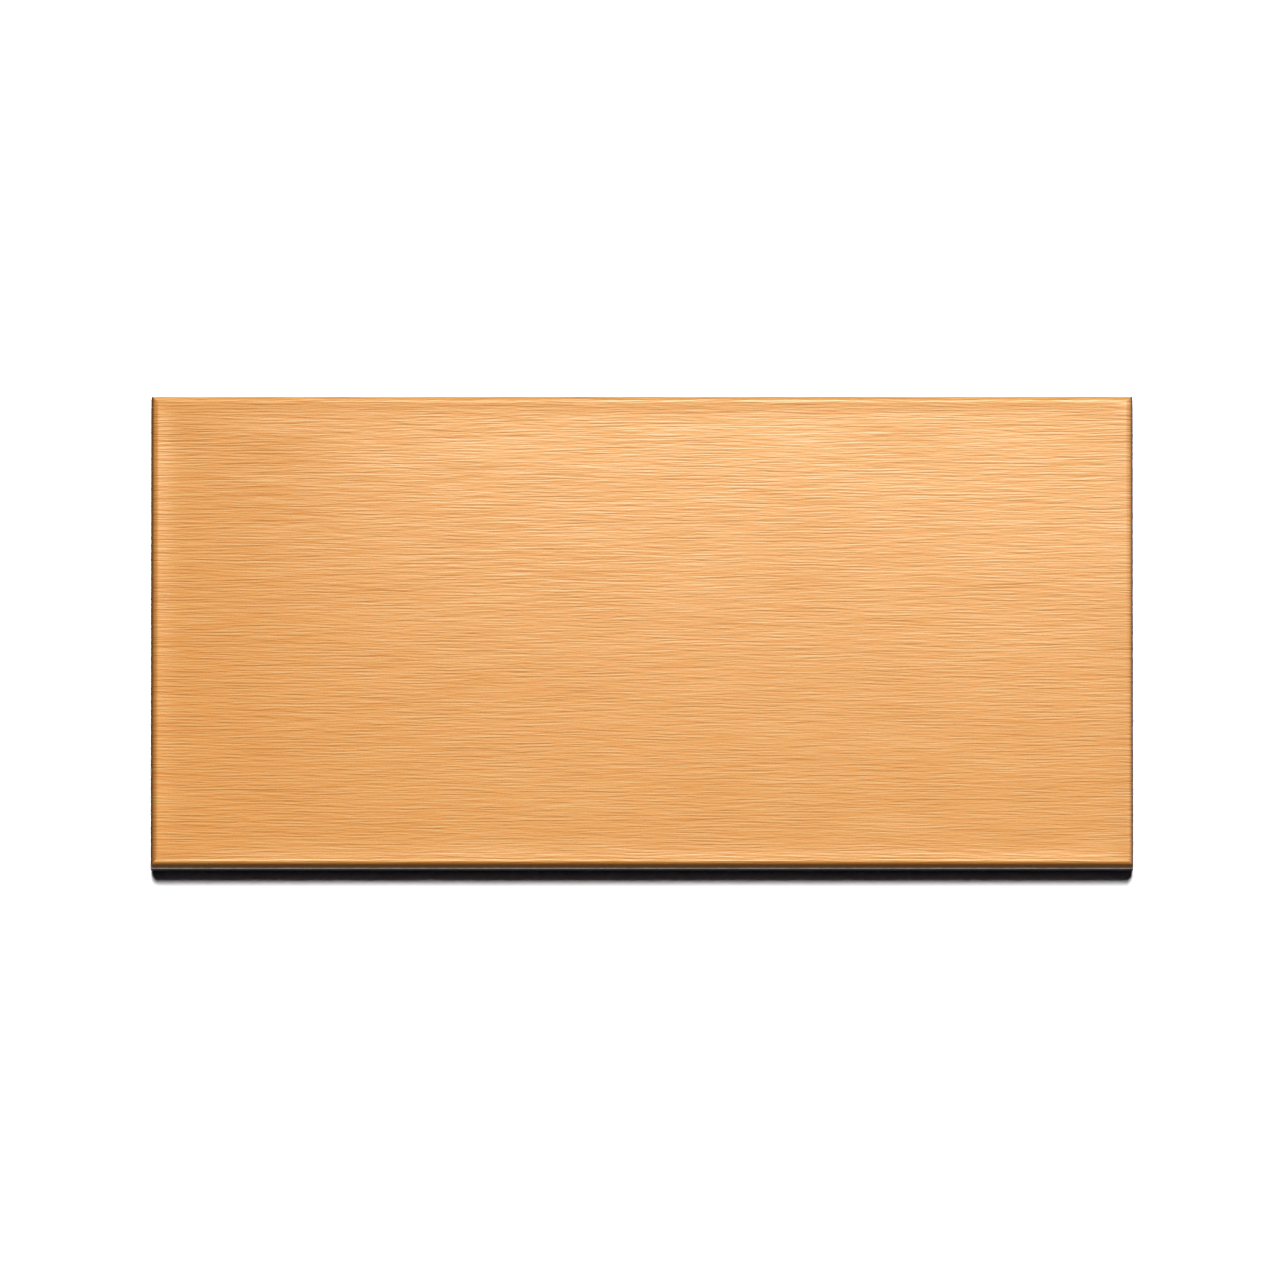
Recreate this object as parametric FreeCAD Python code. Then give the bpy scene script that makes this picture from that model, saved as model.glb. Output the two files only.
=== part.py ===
import FreeCAD, Part
import math
import os

os.makedirs("parts", exist_ok=True)

# Brushed brass slab paperweight. All lengths are in millimetres.
# +X runs along the long side, +Y points to the rear, +Z is up.
# The origin is the centre of the underside of the pad.

Vector = FreeCAD.Vector

# Outline of the black base plate, which is also the outline of the whole object.
plate_length = 125.0
plate_depth = 60.2
plate_thickness = 2.5
plate_arris = 0.15  # 45 degree chamfer round the upper and lower rims
plate_corner_break = 0.1  # 45 degree chamfer on the upright corners

# Folded sheet cover. It stands a hair inside the base plate all round.
cover_inset = 0.1
cover_height = 4.2
sheet_thickness = 0.6
bend_radius_outside = 0.8
bend_radius_inside = bend_radius_outside - sheet_thickness
corner_seam_width = 0.06

# Weight slab inside the cover.
weight_clearance = 0.1
weight_top_chamfer = 0.4
weight_corner_chamfer = 1.0

# Adhesive film between the cover's top panel and the weight.
film_thickness = 0.1
film_inset = 2.0

# Pad that the object rests on, and the adhesive that holds it.
pad_thickness = 1.2
pad_inset = 2.0
pad_corner_radius = 3.0
pad_edge_radius = 0.25
pad_adhesive_thickness = 0.1
pad_adhesive_inset = 0.5

# Four M2.5 countersunk screws, driven from under the plate.
screw_spacing_x = 100.0
screw_spacing_y = 36.0
screw_length = 5.0
thread_diameter = 2.5
thread_core_diameter = 2.0
thread_pitch = 0.45
head_diameter = 4.7
head_land = 0.15  # short straight rim above the 90 degree cone
head_sink = 0.05  # the head sits this far inside the plate's underside
tip_chamfer = 0.3
recess_width = 0.55
recess_length = 2.3
recess_depth = 0.9
screw_play = 0.03  # radial play of the thread and of the cone
plate_hole_diameter = 2.9

# Heights, from the desk upwards.
pad_top = pad_thickness
plate_bottom = pad_top + pad_adhesive_thickness
plate_top = plate_bottom + plate_thickness
cover_top = plate_top + cover_height
panel_underside = cover_top - sheet_thickness
weight_top = panel_underside - film_thickness

# Sizes that follow from the ones above.
cover_length = plate_length - 2 * cover_inset
cover_depth = plate_depth - 2 * cover_inset
cavity_length = cover_length - 2 * sheet_thickness
cavity_depth = cover_depth - 2 * sheet_thickness
overshoot = 1.0  # how far a cutting shape runs past the face it cuts


def block(length, depth, bottom, top):
    """A box centred on the Z axis between two heights."""
    corner = Vector(-length / 2, -depth / 2, bottom)
    return Part.makeBox(length, depth, top - bottom, corner)


def edges_at_height(shape, height):
    """The edges that lie in the horizontal plane at this height."""
    return [
        edge
        for edge in shape.Edges
        if abs(edge.BoundBox.ZMin - height) < 1e-6 and abs(edge.BoundBox.ZMax - height) < 1e-6
    ]


def upright_edges(shape):
    """The straight vertical edges."""
    return [
        edge
        for edge in shape.Edges
        if edge.BoundBox.XLength < 1e-6 and edge.BoundBox.YLength < 1e-6
    ]


def screw_positions():
    """The four screw axes, seen from above."""
    return [
        Vector(side * screw_spacing_x / 2, row * screw_spacing_y / 2, 0)
        for side in (-1, 1)
        for row in (-1, 1)
    ]


def turned(points):
    """The solid of revolution about Z from (radius, height) points."""
    profile = Part.makePolygon([Vector(radius, 0, height) for radius, height in points + points[:1]])
    return Part.Face(profile).revolve(Vector(0, 0, 0), Vector(0, 0, 1), 360)


def write(shape, node):
    """Checks one node's shape and writes it."""
    assert shape.isValid(), node
    shape.exportStep(f"parts/{node}.step")


def make_cover():
    """A shallow tray, open below: a top panel and four flanges folded down from it.

    The bends are round and the upright corners are sharp, with a fine mitre seam between flanges.
    """
    outside = block(cover_length, cover_depth, plate_top, cover_top)
    outside = outside.makeFillet(bend_radius_outside, edges_at_height(outside, cover_top))
    inside = block(cavity_length, cavity_depth, plate_top - overshoot, panel_underside)
    inside = inside.makeFillet(bend_radius_inside, edges_at_height(inside, panel_underside))
    tray = outside.cut(inside)
    seam_height = cover_height - bend_radius_outside + overshoot
    seam_reach = 4 * sheet_thickness
    for side in (-1, 1):
        for row in (-1, 1):
            seam_corner = Vector(-seam_reach / 2, -corner_seam_width / 2, 0)
            seam = Part.makeBox(seam_reach, corner_seam_width, seam_height, seam_corner)
            seam.rotate(Vector(0, 0, 0), Vector(0, 0, 1), 45 * side * row)
            seam.translate(Vector(side * cover_length / 2, row * cover_depth / 2, plate_top - overshoot))
            tray = tray.cut(seam)
    return tray


def make_bond_film():
    """The adhesive film between the weight and the panel above it."""
    length = cavity_length - 2 * film_inset
    depth = cavity_depth - 2 * film_inset
    return block(length, depth, weight_top, panel_underside)


def make_weight():
    """The slab that fills the cover, with four tapped holes right through it."""
    length = cavity_length - 2 * weight_clearance
    depth = cavity_depth - 2 * weight_clearance
    slab = block(length, depth, plate_top, weight_top)
    slab = slab.makeChamfer(weight_corner_chamfer, upright_edges(slab))
    slab = slab.makeChamfer(weight_top_chamfer, edges_at_height(slab, weight_top))
    radius = thread_diameter / 2 + screw_play
    hole_height = weight_top - plate_top + 2 * overshoot
    hole = Part.makeCylinder(radius, hole_height, Vector(0, 0, plate_top - overshoot))
    for position in screw_positions():
        slab = slab.cut(hole.translated(position))
    return slab


def make_base_plate():
    """The plate that closes the cover from below, with four countersunk holes."""
    plate = block(plate_length, plate_depth, plate_bottom, plate_top)
    plate = plate.makeChamfer(plate_corner_break, upright_edges(plate))
    rims = edges_at_height(plate, plate_bottom) + edges_at_height(plate, plate_top)
    plate = plate.makeChamfer(plate_arris, rims)
    mouth = head_diameter / 2 + screw_play
    straight = head_sink + head_land
    bore = plate_hole_diameter / 2
    hole = turned(
        [
            (0, plate_bottom - overshoot),
            (mouth, plate_bottom - overshoot),
            (mouth, plate_bottom + straight),
            (bore, plate_bottom + straight + mouth - bore),
            (bore, plate_top + overshoot),
            (0, plate_top + overshoot),
        ]
    )
    for position in screw_positions():
        plate = plate.cut(hole.translated(position))
    return plate


def make_screw():
    """One countersunk screw on the Z axis, head down, with a cross recess."""
    head_face = plate_bottom + head_sink
    tip = head_face + screw_length
    head = head_diameter / 2
    crest = thread_diameter / 2
    core = thread_core_diameter / 2
    cone_end = head_face + head_land + head - core
    outline = [(0, head_face), (head, head_face), (head, head_face + head_land), (core, cone_end)]
    turns = math.floor((tip - tip_chamfer - cone_end) / thread_pitch)
    for turn in range(turns):
        root = cone_end + turn * thread_pitch
        outline.append((crest, root + 0.4 * thread_pitch))
        outline.append((crest, root + 0.6 * thread_pitch))
        outline.append((core, root + thread_pitch))
    outline.append((core, tip - tip_chamfer))
    outline.append((core - tip_chamfer, tip))
    outline.append((0, tip))
    screw = turned(outline)
    recess_start = Vector(-recess_length / 2, -recess_width / 2, head_face - overshoot)
    slot = Part.makeBox(recess_length, recess_width, recess_depth + overshoot, recess_start)
    cross = slot.copy()
    cross.rotate(Vector(0, 0, 0), Vector(0, 0, 1), 90)
    return screw.cut(slot.fuse(cross))


def make_screws():
    """The four screws as separate solids of one shape."""
    screw = make_screw()
    return Part.makeCompound([screw.translated(position) for position in screw_positions()])


def make_pad_adhesive():
    """The adhesive sheet between the plate and the pad, cut a little smaller than the pad."""
    inset = pad_inset + pad_adhesive_inset
    sheet = block(plate_length - 2 * inset, plate_depth - 2 * inset, pad_top, plate_bottom)
    return sheet.makeFillet(pad_corner_radius - pad_adhesive_inset, upright_edges(sheet))


def make_pad():
    """The felt pad under the plate, with round corners and a softened lower rim."""
    pad = block(plate_length - 2 * pad_inset, plate_depth - 2 * pad_inset, 0, pad_top)
    pad = pad.makeFillet(pad_corner_radius, upright_edges(pad))
    return pad.makeFillet(pad_edge_radius, edges_at_height(pad, 0))


write(make_cover(), "brass_cover")
write(make_bond_film(), "cover_bond_film")
write(make_weight(), "steel_weight")
write(make_base_plate(), "base_plate")
write(make_screws(), "base_screws")
write(make_pad_adhesive(), "pad_adhesive")
write(make_pad(), "felt_pad")
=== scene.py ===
"""Looks for the slab paperweight: brushed brass cover, black base plate and felt pad.

Lengths are in metres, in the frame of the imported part: +X along the slab, +Y to the rear, +Z up.
"""
import math

import bpy
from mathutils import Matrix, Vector, noise


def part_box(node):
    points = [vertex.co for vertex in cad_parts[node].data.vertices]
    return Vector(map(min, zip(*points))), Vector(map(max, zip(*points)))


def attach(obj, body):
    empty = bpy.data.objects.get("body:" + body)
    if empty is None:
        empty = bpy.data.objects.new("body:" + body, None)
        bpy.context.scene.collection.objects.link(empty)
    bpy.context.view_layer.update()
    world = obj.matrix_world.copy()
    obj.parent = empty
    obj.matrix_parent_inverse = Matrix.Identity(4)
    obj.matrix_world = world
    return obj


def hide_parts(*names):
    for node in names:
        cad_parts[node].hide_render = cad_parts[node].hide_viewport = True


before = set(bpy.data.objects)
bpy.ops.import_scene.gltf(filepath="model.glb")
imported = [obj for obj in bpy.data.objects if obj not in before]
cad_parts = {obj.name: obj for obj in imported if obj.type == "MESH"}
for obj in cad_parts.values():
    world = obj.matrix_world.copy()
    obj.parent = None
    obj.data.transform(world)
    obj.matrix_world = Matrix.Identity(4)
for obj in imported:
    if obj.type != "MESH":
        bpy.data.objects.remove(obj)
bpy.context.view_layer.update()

MM = 0.001

# Cover, folded from brushed sheet.
COVER_LOW, COVER_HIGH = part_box("brass_cover")
SHEET = 0.6 * MM
BEND = 0.8 * MM  # outside radius of a fold
BEND_INSIDE = BEND - SHEET
BEND_STEPS = 16
BEND_INSIDE_STEPS = 5
LIP_RISE = 0.080 * MM  # folding leaves the sheet standing slightly proud along its folds
LIP_REACHES = (2.0 * MM, 1.4 * MM)  # how far in that rise spreads from the end folds and the long ones
LIP_CREST = 0.10 * MM  # width over which it levels out again, just before the fold
LIP_RUNS_MM = (0.03, 0.06, 0.1, 0.15, 0.2, 0.28, 0.38, 0.5, 0.7)  # the panel's grid lines, in from a fold
LIP_RUNS_MM += (0.9, 1.15, 1.4, 1.7, 2.0, 2.4, 2.9, 3.5, 4.4)
HEM = 0.05 * MM  # radius of the softened lower edge
HEM_STEPS = 4
SEAM = 0.06 * MM  # open mitre between two flanges

# Brushing. Each layer of marks: how often it repeats per metre, along the sheet and across it.
SCRATCHES = (220.0, 4900.0, 0.0)
LONG_MARKS = (75.0, 2600.0, 0.0)
BROAD_MARKS = (28.0, 300.0, 0.0)
WANDER = (70.0, 160.0, 0.0)
WANDER_REACH = 0.15 * MM  # how far a hairline strays to either side
SCRATCH_WIDTH = 0.125 * MM  # from a groove to the burr beside it
SCRATCH_WEIGHT = 1.1
LONG_WEIGHT = 0.34
BROAD_WEIGHT = 0.10
GRAIN_BASE = 0.28

# Felt pad.
PAD_LOW, PAD_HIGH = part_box("felt_pad")
PAD_CORNER = 3.0 * MM
PAD_RIM = 0.25 * MM
PAD_BULGE = 0.10 * MM  # the cut edge swells a little under the load
PAD_FUZZ = 0.035 * MM
PAD_SPACING = 0.5 * MM  # between points along the straight edges
PAD_CORNER_STEPS = 12
PAD_RINGS = (0.0, 0.04, 0.12, 0.22, 0.34, 0.46, 0.58, 0.70, 0.82, 0.92, 1.0)  # shares of the thickness
TUFT = 0.45 * MM  # size of the unevenness of the cut edge
FIBRE = 0.17 * MM
FIBRE_SHARE = 0.6

# Base plate.
PLATE_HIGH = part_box("base_plate")[1]
PLATE_ARRIS = 0.15 * MM
PLATE_WEAR = 0.02 * MM  # how much the lower limit of the rubbed arris wanders

# View.
LENS_MM = 1200.0
SENSOR_MM = 36.0
VIEW_TILT = math.radians(6.5)  # the camera leans this far from straight above, to the near side
COVER_SHARE = 0.7667  # of the picture's width
AIM_RIGHT = -0.25 * MM  # the point at the picture's centre, from the middle of the object's foot
AIM_UP = -0.37 * MM

# Studio. Directions are unit vectors, so 1 on an axis is straight along it.
NEUTRAL = (1.0, 1.0, 1.0)
WARM = (1.0, 0.82, 0.55)
DOME = (  # height of the direction, brightness, tint
    (-1.0, 0.06, WARM),
    (-0.84, 0.09, WARM),
    (-0.45, 0.17, WARM),
    (0.03, 0.32, NEUTRAL),
    (0.4, 0.52, NEUTRAL),
    (0.68, 0.84, NEUTRAL),
    (0.87, 0.88, NEUTRAL),
    (1.0, 0.78, NEUTRAL),
)
DOME_SIDES = (  # the direction's share to the right, and what that does to the brightness
    (-1.0, 0.86),
    (-0.86, 0.68),
    (-0.63, 0.52),
    (-0.34, 0.70),
    (-0.05, 1.0),
    (0.34, 1.08),
    (0.6, 1.06),
    (0.86, 1.1),
    (0.95, 1.6),
)
RIGHT_FROM = 0.3  # the direction's share to the right where the tint sets in, and where it is whole
RIGHT_TO = 0.6
RIGHT_TINT = (1.0, 1.22, 2.1)
REAR_FROM = 0.2  # the direction's share to the rear where the rear light sets in, and where it is whole
REAR_TO = 0.5
REAR = (  # height of the direction, colour
    (-0.35, (1.0, 1.3, 2.1)),
    (-0.12, (0.95, 1.18, 1.7)),
    (0.0, (0.94, 0.92, 0.84)),
    (0.16, (0.94, 0.93, 0.86)),
    (0.36, (1.0, 1.25, 1.9)),
    (0.75, (0.96, 1.09, 1.55)),
)
CORNERS_FROM = 0.3  # the direction's share along both axes, likewise
CORNERS_TO = 0.5
CORNERS = (  # height of the direction, brightness towards the studio's four corners
    (-1.0, 0.12),
    (-0.5, 0.42),
    (-0.15, 0.60),
    (0.05, 0.52),
    (0.5, 0.56),
)
KEY_STRENGTH = 11.0
KEY_LEAN = math.radians(15.1)  # from the zenith to the rear
KEY_BREADTH = math.radians(14.0)
SOFTBOXES = (  # name, centre, size, brightness, tint
    ("softbox_above", (0.034, 0.167, 0.30), (0.158, 0.24), 3.45, (0.14, 0.32, 1.0)),
    ("softbox_front", (0.0, -0.168, 0.345), (0.60, 0.26), 2.2, (0.14, 0.36, 1.0)),
    ("softbox_rear_left", (-0.26, 0.15, 0.14), (0.16, 0.22), 0.55, (1.0, 0.98, 0.94)),
    ("softbox_front_right", (0.27, -0.17, 0.085), (0.16, 0.22), 0.50, (1.0, 0.98, 0.94)),
)
FLOOR_REACH = 3.0  # from its middle to its edge
CLIP_START = 0.1
CLIP_END = 20.0


def link(obj):
    """Puts a new object in the scene and returns it."""
    bpy.context.scene.collection.objects.link(obj)
    return obj


class Skin:
    """Collects polygons by their corner points and shares equal points between them."""

    def __init__(self):
        self.index = {}
        self.points = []
        self.faces = []
        self.uvs = []
        self.normals = []

    def point(self, at):
        key = tuple(round(value, 8) for value in at)
        if key not in self.index:
            self.index[key] = len(self.points)
            self.points.append(tuple(at))
        return self.index[key]

    def face(self, corners, uvs=None, normals=None):
        """Adds one polygon, without corners that fall on the one before."""
        kept = []
        for number, corner in enumerate(corners):
            index = self.point(corner)
            if index not in [entry[0] for entry in kept]:
                uv = uvs[number] if uvs else (corner[0], corner[1])
                kept.append((index, uv, normals[number] if normals else None))
        if len(kept) < 3:
            return
        self.faces.append([entry[0] for entry in kept])
        self.uvs.extend(entry[1] for entry in kept)
        flat = Vector((0, 0, 0))
        places = [Vector(self.points[entry[0]]) for entry in kept]
        for first, second in zip(places[1:-1], places[2:]):
            flat += (first - places[0]).cross(second - places[0])
        flat.normalize()
        self.normals.extend(entry[2] or tuple(flat) for entry in kept)

    def build(self, name):
        mesh = bpy.data.meshes.new(name)
        mesh.from_pydata(self.points, [], self.faces)
        layer = mesh.uv_layers.new(name="flat_sheet")
        for loop, uv in zip(layer.data, self.uvs):
            loop.uv = uv
        mesh.polygons.foreach_set("use_smooth", [True] * len(mesh.polygons))
        mesh.normals_split_custom_set(self.normals)
        mesh.update()
        return link(bpy.data.objects.new(name, mesh))


# ---------------------------------------------------------------- cover


def lip(run, reach):
    """The panel's share of its whole fall at this distance in from a fold, and how fast it grows."""
    crest = 1 / math.hypot(1 / reach, 1 / LIP_CREST)
    share = (reach * math.erf(run / reach) - crest * math.erf(run / crest)) / (reach - crest)
    growth = math.exp(-((run / reach) ** 2)) - math.exp(-((run / crest) ** 2))
    return share, growth * 2 / math.sqrt(math.pi) / (reach - crest)


def cover_rows():
    """The folded edge's section as rows (inset, height, normal angle, split, unrolled length).

    The inset is measured in from the flanges' outer plane. The normal angle turns outwards from
    straight up. The rows run over the fold, down the flange, round its lower edge and up the
    inside. Rows below the fold are split at the corners by the open mitre seams.
    """
    top = COVER_HIGH.z
    foot = COVER_LOW.z
    centre = top - BEND
    rows = []
    for step in range(BEND_STEPS + 1):
        angle = math.pi / 2 * step / BEND_STEPS
        row = (BEND * (1 - math.sin(angle)), centre + BEND * math.cos(angle), angle)
        rows.append((*row, step == BEND_STEPS))
    for step in range(HEM_STEPS + 1):
        angle = math.pi / 2 * (1 + step / HEM_STEPS)
        rows.append((HEM * (1 - math.sin(angle)), foot + HEM * (1 + math.cos(angle)), angle, True))
    rows.append((SHEET, foot, math.pi, True))
    rows.append((SHEET, foot, 1.5 * math.pi, True))
    rows.append((SHEET, centre, 1.5 * math.pi, True))
    for step in range(BEND_INSIDE_STEPS + 1):
        angle = math.pi * (1.5 - 0.5 * step / BEND_INSIDE_STEPS)
        inset = BEND + BEND_INSIDE * math.sin(angle)
        rows.append((inset, centre - BEND_INSIDE * math.cos(angle), angle, False))
    measured, length = [], 0.0
    for number, row in enumerate(rows):
        if number:
            before = rows[number - 1]
            length += math.hypot(row[0] - before[0], row[1] - before[1])
        measured.append((*row, length))
    return measured


def panel_stations(half):
    """Grid lines across the panel, close together beside the folds."""
    edge = half - BEND
    inner = [edge - run * MM for run in LIP_RUNS_MM]
    return [-edge, *(-at for at in inner), *reversed(inner), edge]


def make_panel(skin, middle, half_x, half_y):
    """The cover's top panel, from one fold to the other both ways."""

    def falls(x, y):
        return lip(half_x - BEND - abs(x), LIP_REACHES[0]), lip(half_y - BEND - abs(y), LIP_REACHES[1])

    def place(x, y):
        along_x, along_y = falls(x, y)
        return (middle.x + x, middle.y + y, COVER_HIGH.z - LIP_RISE * along_x[0] * along_y[0])

    def normal(x, y):
        along_x, along_y = falls(x, y)
        lean_x = math.copysign(LIP_RISE * along_x[1] * along_y[0], -x)
        lean_y = math.copysign(LIP_RISE * along_y[1] * along_x[0], -y)
        return tuple(Vector((lean_x, lean_y, 1)).normalized())

    columns, lines = panel_stations(half_x), panel_stations(half_y)
    for left, right in zip(columns, columns[1:]):
        for near, far in zip(lines, lines[1:]):
            spots = [(left, near), (right, near), (right, far), (left, far)]
            skin.face([place(*spot) for spot in spots], spots, [normal(*spot) for spot in spots])


def make_cover():
    """The folded cover: a closed skin swept round the rectangle, mitred at its four corners."""
    half_x = (COVER_HIGH.x - COVER_LOW.x) / 2
    half_y = (COVER_HIGH.y - COVER_LOW.y) / 2
    middle = (COVER_LOW + COVER_HIGH) / 2
    rows = cover_rows()
    skin = Skin()
    make_panel(skin, middle, half_x, half_y)
    pull = SEAM / math.sqrt(2)
    # Each side: its outward direction, and the direction in which the sweep runs along it.
    sides = [((0, -1), (1, 0)), ((1, 0), (0, 1)), ((0, 1), (-1, 0)), ((-1, 0), (0, -1))]

    def spot(side, along, row):
        """A point of one side at one row; along is measured from the side's middle."""
        (out_x, out_y), (run_x, run_y) = sides[side]
        out = (half_x if out_x else half_y) - row[0]
        return (middle.x + out_x * out + run_x * along, middle.y + out_y * out + run_y * along, row[1])

    def stations(side, row):
        """Places along one side at one row: its two corners, and the panel's grid lines between."""
        half = half_x if sides[side][1][0] else half_y
        end = half - row[0] - (pull if row[3] else 0.0)
        return [-end, *panel_stations(half)[1:-1], end]

    def corner(side, end, row):
        return spot(side, stations(side, row)[end], row)

    def flat(side, at, row):
        """Where the point lay on the flat sheet before it was folded."""
        (out_x, out_y), _ = sides[side]
        reach = (half_x if out_x else half_y) - rows[0][0] + row[4]
        return (out_x * reach if out_x else at[0], out_y * reach if out_y else at[1])

    def leaning(side, row):
        (out_x, out_y), _ = sides[side]
        return (math.sin(row[2]) * out_x, math.sin(row[2]) * out_y, math.cos(row[2]))

    def strip(side, above, below):
        upper = [spot(side, along, above) for along in stations(side, above)]
        lower = [spot(side, along, below) for along in stations(side, below)]
        normals = [leaning(side, row) for row in (above, below, below, above)]
        for number in range(len(upper) - 1):
            corners = [upper[number], lower[number], lower[number + 1], upper[number + 1]]
            uvs = [flat(side, at, row) for at, row in zip(corners, (above, below, below, above))]
            skin.face(corners, uvs, normals)

    for above, below in zip(rows, rows[1:]):
        for side in range(4):
            strip(side, above, below)
            if above[3] != below[3]:
                split, whole = (below, above) if below[3] else (above, below)
                seam = [corner(side, -1, split), corner((side + 1) % 4, 0, split)]
                seam.append(corner(side, -1, whole))
                skin.face(seam if below[3] else seam[::-1])
    split_rows = [row for row in rows if row[3]]
    outer, inner = split_rows[0], split_rows[-1]
    for side in range(4):
        following = (side + 1) % 4
        skin.face([corner(side, -1, row) for row in split_rows])
        skin.face([corner(following, 0, row) for row in reversed(split_rows)])
        ends = [corner(side, -1, outer), corner(side, -1, inner)]
        skin.face(ends + [corner(following, 0, inner), corner(following, 0, outer)])
    ceiling = []
    for side in range(4):
        ceiling += [spot(side, along, rows[-1]) for along in stations(side, rows[-1])[:-1]]
    skin.face(ceiling[::-1])
    return skin.build("cover_skin")


# ---------------------------------------------------------------- felt pad


def make_pad():
    """The felt pad: a flat sheet with round corners, a swollen cut edge and a fibrous surface."""
    skin = Skin()
    half_x = (PAD_HIGH.x - PAD_LOW.x) / 2
    half_y = (PAD_HIGH.y - PAD_LOW.y) / 2
    thickness = PAD_HIGH.z - PAD_LOW.z
    outline = []  # the middle of the rounding that each point belongs to, and the direction outwards
    quarter = math.pi / 2
    signs = ((1, 1), (-1, 1), (-1, -1), (1, -1))
    pivots = [Vector((x * (half_x - PAD_CORNER), y * (half_y - PAD_CORNER))) for x, y in signs]
    for turn, pivot in enumerate(pivots):
        for step in range(PAD_CORNER_STEPS + 1):
            angle = quarter * (turn + step / PAD_CORNER_STEPS)
            outline.append((pivot, Vector((math.cos(angle), math.sin(angle)))))
        target = pivots[(turn + 1) % 4]
        count = int((target - pivot).length / PAD_SPACING)
        direction = outline[-1][1]
        for step in range(1, count):
            outline.append((pivot.lerp(target, step / count), direction))

    def rim(share, inset):
        """One ring of points round the pad at a share of its height, roughened like cut felt."""
        ring = []
        for pivot, direction in outline:
            at = pivot + direction * (PAD_CORNER - inset)
            z = PAD_LOW.z + thickness * share
            rough = noise.noise(Vector((at.x, at.y, z)) / TUFT)
            rough += FIBRE_SHARE * noise.noise(Vector((at.x, at.y, z)) / FIBRE)
            at = at + direction * PAD_FUZZ * rough * math.sin(math.pi * share)
            ring.append((at.x, at.y, z))
        return ring

    rings = []
    for share in PAD_RINGS:
        below_rim = max(0.0, PAD_RIM - thickness * share)
        rounding = PAD_RIM - math.sqrt(PAD_RIM**2 - below_rim**2)
        bulge = PAD_BULGE * (1 - math.sin(math.pi * (share * 0.9 + 0.1)))
        rings.append(rim(share, rounding + bulge + PAD_FUZZ))
    count = len(outline)
    for below, above in zip(rings, rings[1:]):
        for number in range(count):
            following = (number + 1) % count
            skin.face([below[number], below[following], above[following], above[number]])
    skin.face(rings[-1])
    skin.face(rings[0][::-1])
    return skin.build("felt_pad_soft")


# ---------------------------------------------------------------- materials


class Shader:
    """The node tree of a material or a world, with short ways to add and join nodes."""

    def __init__(self, owner):
        owner.use_nodes = True
        self.owner = owner
        self.tree = owner.node_tree
        self.tree.nodes.clear()

    def node(self, kind, inputs=None, **settings):
        made = self.tree.nodes.new(kind)
        for key, value in settings.items():
            setattr(made, key, value)
        for key, value in (inputs or {}).items():
            self.feed(made.inputs[key], value)
        return made

    def feed(self, socket, value):
        if isinstance(value, bpy.types.NodeSocket):
            self.tree.links.new(value, socket)
        else:
            socket.default_value = value

    def math(self, operation, first, second=0.0, third=0.0):
        inputs = {0: first, 1: second, 2: third}
        return self.node("ShaderNodeMath", inputs, operation=operation).outputs[0]

    def stretched(self, source, scale):
        """The source's coordinates multiplied by a scale on each axis."""
        return self.node(
            "ShaderNodeVectorMath", {0: source, 1: scale}, operation="MULTIPLY"
        ).outputs[0]

    def noise(self, where, detail=2.0, rough=0.5, scale=1.0, distortion=0.0):
        inputs = {
            "Vector": where,
            "Scale": scale,
            "Detail": detail,
            "Roughness": rough,
            "Distortion": distortion,
        }
        return self.node("ShaderNodeTexNoise", inputs).outputs["Fac"]

    def ramp(self, value, stops):
        made = self.node("ShaderNodeValToRGB", {"Fac": value})
        elements = made.color_ramp.elements
        while len(elements) > 1:
            elements.remove(elements[-1])
        elements[0].position = stops[0][0]
        elements[0].color = (*stops[0][1], 1.0)
        for position, colour in stops[1:]:
            elements.new(position).color = (*colour, 1.0)
        return made.outputs["Color"]

    def range(self, value, low, high, to_low, to_high):
        inputs = {"Value": value, "From Min": low, "From Max": high, "To Min": to_low, "To Max": to_high}
        return self.node("ShaderNodeMapRange", inputs).outputs["Result"]

    def smooth(self, value, start, stop):
        """0 up to the start and 1 from the stop, with an eased step between."""
        inputs = {"Value": value, "From Min": start, "From Max": stop}
        made = self.node("ShaderNodeMapRange", inputs, interpolation_type="SMOOTHSTEP")
        return made.outputs["Result"]

    def mix(self, factor, first, second, blend="MIX"):
        made = self.node("ShaderNodeMix", data_type="RGBA", blend_type=blend)
        for key, value in (("Factor", factor), ("A", first), ("B", second)):
            sockets = [socket for socket in made.inputs if socket.name == key and socket.enabled]
            self.feed(sockets[0], value)
        return next(socket for socket in made.outputs if socket.enabled)

    def bump(self, height, strength, distance):
        inputs = {"Height": height, "Strength": strength, "Distance": distance}
        return self.node("ShaderNodeBump", inputs).outputs["Normal"]

    def surface(self, **inputs):
        named = {key.replace("_", " "): value for key, value in inputs.items()}
        shader = self.node("ShaderNodeBsdfPrincipled", named)
        self.node("ShaderNodeOutputMaterial", {"Surface": shader.outputs["BSDF"]})
        return self.owner


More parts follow.
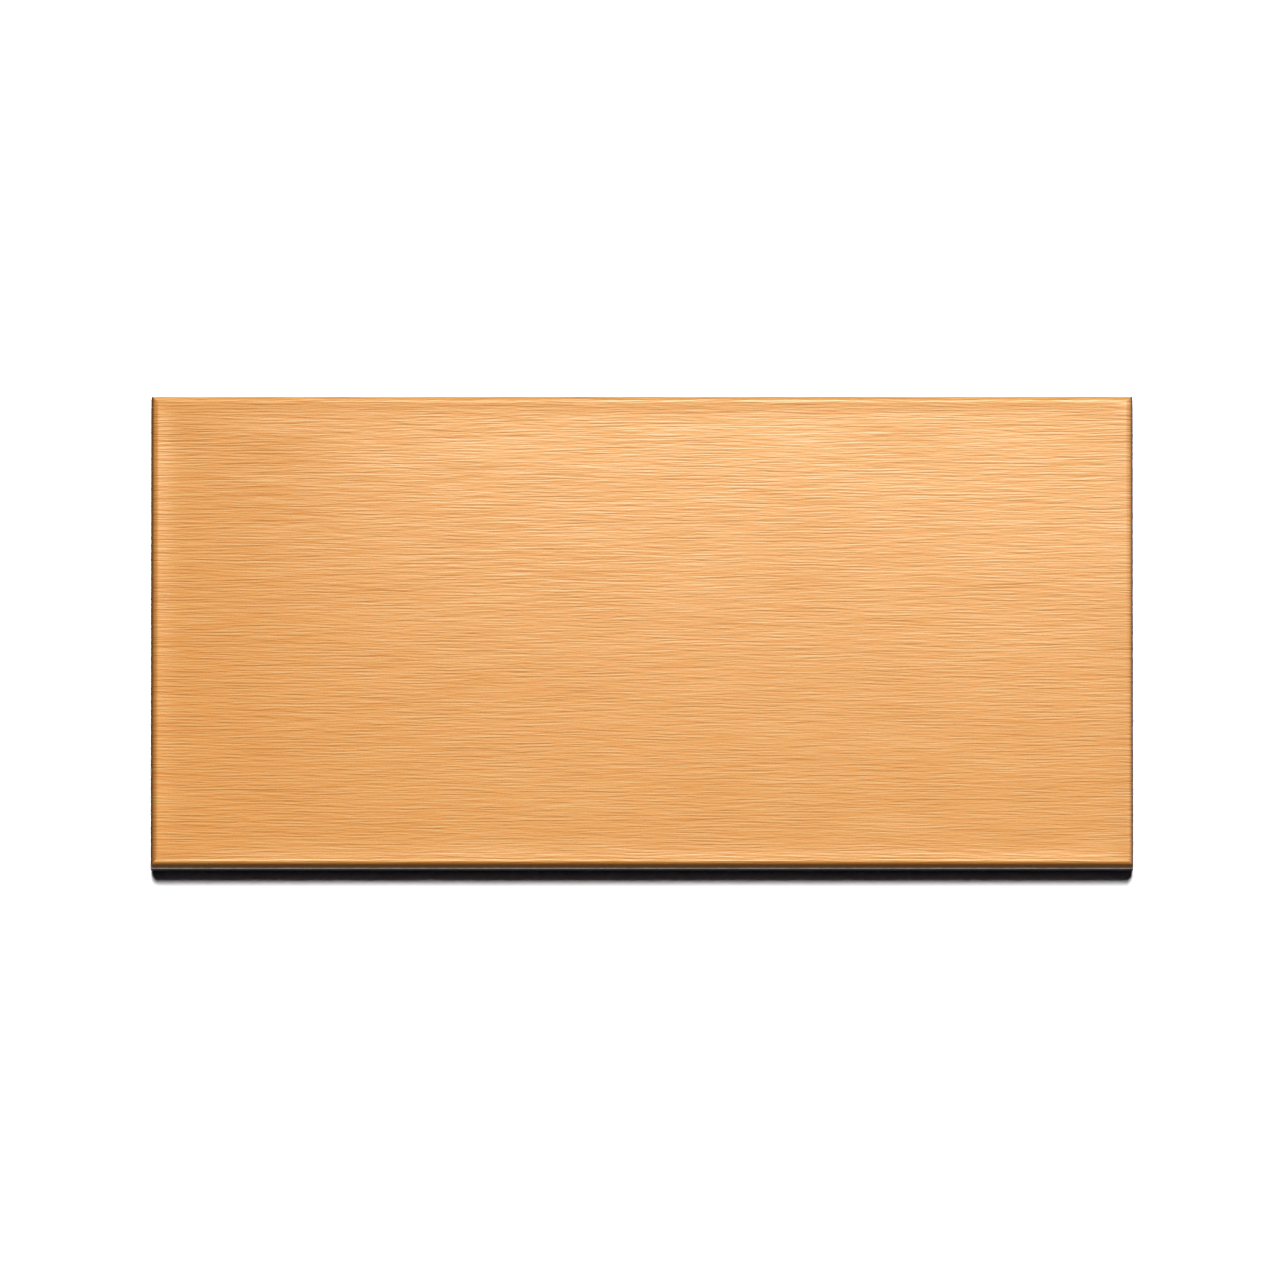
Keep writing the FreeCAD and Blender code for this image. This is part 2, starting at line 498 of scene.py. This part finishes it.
def brushed_brass():
    """Hairline brushed brass sheet: streaks along the flat sheet's length that run on over the folds. In
    the colour, the scratches' dark and light tones are painted shade in the grooves and painted highlight
    on the burrs.
    """
    made = Shader(bpy.data.materials.new("brushed_brass"))
    flat = made.node("ShaderNodeUVMap", uv_map="flat_sheet").outputs["UV"]
    # The hairlines wander slightly from straight.
    drift = made.noise(made.stretched(flat, WANDER), detail=1.0)
    drift = made.math("MULTIPLY_ADD", drift, 2 * WANDER_REACH, -WANDER_REACH)
    shift = made.node("ShaderNodeCombineXYZ", {"Y": drift}).outputs[0]
    where = made.node("ShaderNodeVectorMath", {0: flat, 1: shift}, operation="ADD").outputs[0]
    # Each scratch is a groove beside a burr: the difference of one noise at two places. In the colour,
    # its dark side is painted shade in the groove and its bright side a painted highlight on the burr;
    # the bump gives the relief.
    aside = {0: where, 1: (0.0, SCRATCH_WIDTH, 0.0)}
    beside = made.node("ShaderNodeVectorMath", aside, operation="ADD").outputs[0]
    first = made.noise(made.stretched(where, SCRATCHES), detail=2.0, rough=0.6)
    second = made.noise(made.stretched(beside, SCRATCHES), detail=2.0, rough=0.6)
    scratch_relief_and_painted_light = made.math("SUBTRACT", first, second)
    long = made.noise(made.stretched(where, LONG_MARKS), detail=1.0)
    broad = made.noise(made.stretched(where, BROAD_MARKS), detail=1.0)
    brushing_with_painted_light = made.math("MULTIPLY_ADD", scratch_relief_and_painted_light, SCRATCH_WEIGHT, GRAIN_BASE)
    brushing_with_painted_light = made.math("MULTIPLY_ADD", long, LONG_WEIGHT, brushing_with_painted_light)
    brushing_with_painted_light = made.math("MULTIPLY_ADD", broad, BROAD_WEIGHT, brushing_with_painted_light)
    # The ramp's middle stop is the brass's own colour. Its darker stops paint shade into the scratches'
    # grooves, and its lighter, paler stops paint highlight onto their burrs. The long and broad marks add
    # random tone.
    colour = made.ramp(
        brushing_with_painted_light,
        [
            (0.22, (0.60, 0.204, 0.032)),
            (0.38, (0.80, 0.287, 0.048)),
            (0.50, (0.91, 0.357, 0.070)),
            (0.62, (0.97, 0.431, 0.106)),
            (0.78, (0.99, 0.542, 0.170)),
        ],
    )
    roughness = made.range(brushing_with_painted_light, 0.3, 0.7, 0.30, 0.23)
    normal = made.bump(brushing_with_painted_light, 0.35, 0.012 * MM)
    tangent = made.node("ShaderNodeTangent", direction_type="UV_MAP", uv_map="flat_sheet").outputs[0]
    return made.surface(
        Base_Color=colour,
        Metallic=1.0,
        Roughness=roughness,
        Anisotropic=0.4,
        Anisotropic_Rotation=0.25,
        Tangent=tangent,
        Coat_Weight=0.15,
        Coat_Roughness=0.3,
        Normal=normal,
    )


def black_coating():
    """Semi-matt black coating on steel, thin and rubbed bright on the upper arris."""
    made = Shader(bpy.data.materials.new("black_coating"))
    place = made.node("ShaderNodeTexCoord").outputs["Object"]
    height = made.node("ShaderNodeSeparateXYZ", {0: place}).outputs["Z"]
    peel = made.noise(place, detail=3.0, rough=0.6, scale=2600.0)
    specks = made.noise(place, detail=2.0, rough=0.7, scale=900.0)
    lowest = PLATE_HIGH.z - PLATE_ARRIS - PLATE_WEAR
    worn_from = made.math("MULTIPLY_ADD", specks, 2.5 * PLATE_WEAR, lowest)
    bare = made.math("GREATER_THAN", height, worn_from)
    coated = made.ramp(peel, [(0.3, (0.008, 0.008, 0.008)), (0.7, (0.016, 0.015, 0.014))])
    rubbed = made.ramp(specks, [(0.35, (0.40, 0.36, 0.31)), (0.65, (0.62, 0.58, 0.51))])
    colour = made.mix(bare, coated, rubbed)
    return made.surface(
        Base_Color=colour,
        Metallic=bare,
        Roughness=made.range(peel, 0.3, 0.7, 0.42, 0.55),
        Specular_IOR_Level=0.2,
        Normal=made.bump(peel, 0.25, 0.01 * MM),
    )


def felt():
    """Black pressed felt: matted short fibres with a faint sheen."""
    made = Shader(bpy.data.materials.new("black_felt"))
    place = made.node("ShaderNodeTexCoord").outputs["Object"]
    clumps = made.noise(place, detail=4.0, rough=0.65, scale=1400.0)
    strands = made.stretched(place, (2600.0, 2600.0, 5200.0))
    hairs = made.noise(strands, detail=3.0, rough=0.7, distortion=1.6)
    mixed = made.math("MULTIPLY_ADD", hairs, 0.6, made.math("MULTIPLY", clumps, 0.4))
    colour = made.ramp(
        mixed,
        [(0.32, (0.004, 0.004, 0.004)), (0.55, (0.012, 0.011, 0.011)), (0.75, (0.034, 0.032, 0.030))],
    )
    return made.surface(
        Base_Color=colour,
        Roughness=0.95,
        Specular_IOR_Level=0.15,
        Sheen_Weight=0.25,
        Sheen_Roughness=0.6,
        Normal=made.bump(mixed, 0.8, 0.08 * MM),
    )


def mill_steel():
    """Mill-finished steel with rolling marks and a thin oil film."""
    made = Shader(bpy.data.materials.new("mill_steel"))
    place = made.node("ShaderNodeTexCoord").outputs["Object"]
    rolling = made.noise(made.stretched(place, (60.0, 1500.0, 400.0)), detail=3.0, rough=0.6)
    stains = made.noise(place, detail=4.0, rough=0.6, scale=55.0)
    mixed = made.math("MULTIPLY_ADD", rolling, 0.5, made.math("MULTIPLY", stains, 0.5))
    colour = made.ramp(
        mixed, [(0.3, (0.16, 0.16, 0.17)), (0.5, (0.28, 0.28, 0.29)), (0.7, (0.40, 0.39, 0.38))]
    )
    return made.surface(
        Base_Color=colour,
        Metallic=1.0,
        Roughness=made.range(stains, 0.3, 0.7, 0.34, 0.52),
        Normal=made.bump(rolling, 0.3, 0.02 * MM),
    )


def zinc_steel():
    """Bright zinc plating with faint iridescent mottling."""
    made = Shader(bpy.data.materials.new("zinc_steel"))
    place = made.node("ShaderNodeTexCoord").outputs["Object"]
    mottle = made.noise(place, detail=3.0, rough=0.55, scale=1800.0)
    colour = made.ramp(
        mottle, [(0.35, (0.50, 0.52, 0.56)), (0.5, (0.60, 0.61, 0.62)), (0.65, (0.68, 0.66, 0.60))]
    )
    return made.surface(
        Base_Color=colour,
        Metallic=1.0,
        Roughness=made.range(mottle, 0.3, 0.7, 0.22, 0.36),
        Normal=made.bump(mottle, 0.2, 0.01 * MM),
    )


def adhesive_film():
    """Tacky translucent film with trapped air and flow marks."""
    made = Shader(bpy.data.materials.new("adhesive_film"))
    place = made.node("ShaderNodeTexCoord").outputs["Object"]
    flow = made.noise(place, detail=4.0, rough=0.6, scale=320.0, distortion=0.8)
    bubbles = made.node("ShaderNodeTexVoronoi", {"Vector": place, "Scale": 900.0}).outputs["Distance"]
    colour = made.ramp(flow, [(0.3, (0.50, 0.46, 0.36)), (0.7, (0.70, 0.66, 0.56))])
    return made.surface(
        Base_Color=colour,
        Roughness=made.range(flow, 0.3, 0.7, 0.3, 0.5),
        Normal=made.bump(bubbles, 0.3, 0.03 * MM),
    )


def pale_floor():
    """Plain pale studio floor."""
    made = Shader(bpy.data.materials.new("pale_floor"))
    place = made.node("ShaderNodeTexCoord").outputs["Object"]
    tone = made.noise(place, detail=2.0, scale=3.0)
    return made.surface(
        Base_Color=made.ramp(tone, [(0.3, (0.61, 0.61, 0.61)), (0.7, (0.63, 0.63, 0.63))]),
        Roughness=0.9,
        Specular_IOR_Level=0.0,
    )


def dress(obj, material):
    """Gives an object this material in every slot."""
    if not obj.material_slots:
        obj.data.materials.append(material)
    for entry in obj.material_slots:
        entry.material = material


# ---------------------------------------------------------------- studio


def make_floor():
    mesh = bpy.data.meshes.new("floor")
    signs = ((-1, -1), (1, -1), (1, 1), (-1, 1))
    mesh.from_pydata([(x * FLOOR_REACH, y * FLOOR_REACH, 0) for x, y in signs], [], [(0, 1, 2, 3)])
    floor = link(bpy.data.objects.new("floor", mesh))
    dress(floor, pale_floor())
    floor.visible_glossy = False


def stops(table):
    """The stops of a ramp over a direction's share of an axis, from -1 to 1, for (share, colour) rows."""
    return [((1 + at) / 2, colour) for at, colour in table]


def make_world():
    """A soft studio dome that only reflections see.

    It is bright overhead, dimmer on the left, cooler on the right and dark near the floor. The
    rear light and the light from the studio's four corners lie over it.
    """
    world = bpy.data.worlds.new("studio")
    made = Shader(world)
    towards = made.node("ShaderNodeTexCoord").outputs["Generated"]
    axes = made.node("ShaderNodeSeparateXYZ", {0: towards}).outputs
    height = made.range(axes["Z"], -1.0, 1.0, 0.0, 1.0)
    across = made.range(axes["X"], -1.0, 1.0, 0.0, 1.0)
    rows = [(at, tuple(value * tint for tint in colour)) for at, value, colour in DOME]
    dome = made.ramp(height, stops(rows))
    sides = made.ramp(across, stops([(at, (value,) * 3) for at, value in DOME_SIDES]))
    sky = made.mix(1.0, dome, sides, "MULTIPLY")
    tinted = made.mix(1.0, sky, (*RIGHT_TINT, 1.0), "MULTIPLY")
    sky = made.mix(made.smooth(axes["X"], RIGHT_FROM, RIGHT_TO), sky, tinted)
    sky = made.mix(made.smooth(axes["Y"], REAR_FROM, REAR_TO), sky, made.ramp(height, stops(REAR)))
    aside = made.smooth(made.math("ABSOLUTE", axes["X"]), CORNERS_FROM, CORNERS_TO)
    aslant = made.smooth(made.math("ABSOLUTE", axes["Y"]), CORNERS_FROM, CORNERS_TO)
    corners = made.ramp(height, stops([(at, (value,) * 3) for at, value in CORNERS]))
    sky = made.mix(made.math("MULTIPLY", aside, aslant), sky, corners)
    background = made.node("ShaderNodeBackground", {"Color": sky}).outputs[0]
    made.node("ShaderNodeOutputWorld", {"Surface": background})
    bpy.context.scene.world = world
    world.cycles_visibility.diffuse = False


def make_key():
    """The key light: a broad source almost overhead, from the rear."""
    data = bpy.data.lights.new("key", "SUN")
    data.energy = KEY_STRENGTH
    data.angle = KEY_BREADTH
    lamp = link(bpy.data.objects.new("key", data))
    towards = Vector((0, math.sin(KEY_LEAN), math.cos(KEY_LEAN)))
    lamp.rotation_euler = towards.to_track_quat("Z", "Y").to_euler()
    lamp.visible_glossy = False


def make_softboxes():
    """Softboxes that only reflections see. The one above hangs level and the others face the object."""
    for name, place, size, brightness, tint in SOFTBOXES:
        data = bpy.data.lights.new(name, "AREA")
        data.shape = "RECTANGLE"
        data.size, data.size_y = size
        data.color = tint
        data.energy = brightness * math.pi * data.size * data.size_y
        lamp = link(bpy.data.objects.new(name, data))
        lamp.location = place
        if name != "softbox_above":
            lamp.rotation_euler = Vector(place).to_track_quat("Z", "Y").to_euler()
        lamp.visible_diffuse = False
        lamp.visible_camera = False


def make_camera():
    data = bpy.data.cameras.new("camera")
    data.sensor_width = SENSOR_MM
    data.lens = LENS_MM
    camera = link(bpy.data.objects.new("camera", data))
    back = Vector((0, -math.sin(VIEW_TILT), math.cos(VIEW_TILT)))
    up = Vector((0, math.cos(VIEW_TILT), math.sin(VIEW_TILT)))
    frame_width = (COVER_HIGH.x - COVER_LOW.x) / COVER_SHARE
    distance = frame_width * LENS_MM / SENSOR_MM
    aim = Vector((AIM_RIGHT, 0, 0)) + up * AIM_UP
    camera.location = aim + back * (distance + COVER_HIGH.z)
    camera.rotation_euler = back.to_track_quat("Z", "Y").to_euler()
    data.clip_start = CLIP_START
    data.clip_end = CLIP_END
    bpy.context.scene.camera = camera


# ---------------------------------------------------------------- assembly

cover = make_cover()
dress(cover, brushed_brass())
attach(cover, "root")
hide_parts("brass_cover")

pad = make_pad()
dress(pad, felt())
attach(pad, "root")
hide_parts("felt_pad")

film = adhesive_film()
kept = {
    "base_plate": black_coating(),
    "steel_weight": mill_steel(),
    "base_screws": zinc_steel(),
    "cover_bond_film": film,
    "pad_adhesive": film,
}
for node, material in kept.items():
    dress(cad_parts[node], material)

make_floor()
make_world()
make_key()
make_softboxes()
make_camera()
bpy.context.scene.view_settings.view_transform = "Standard"
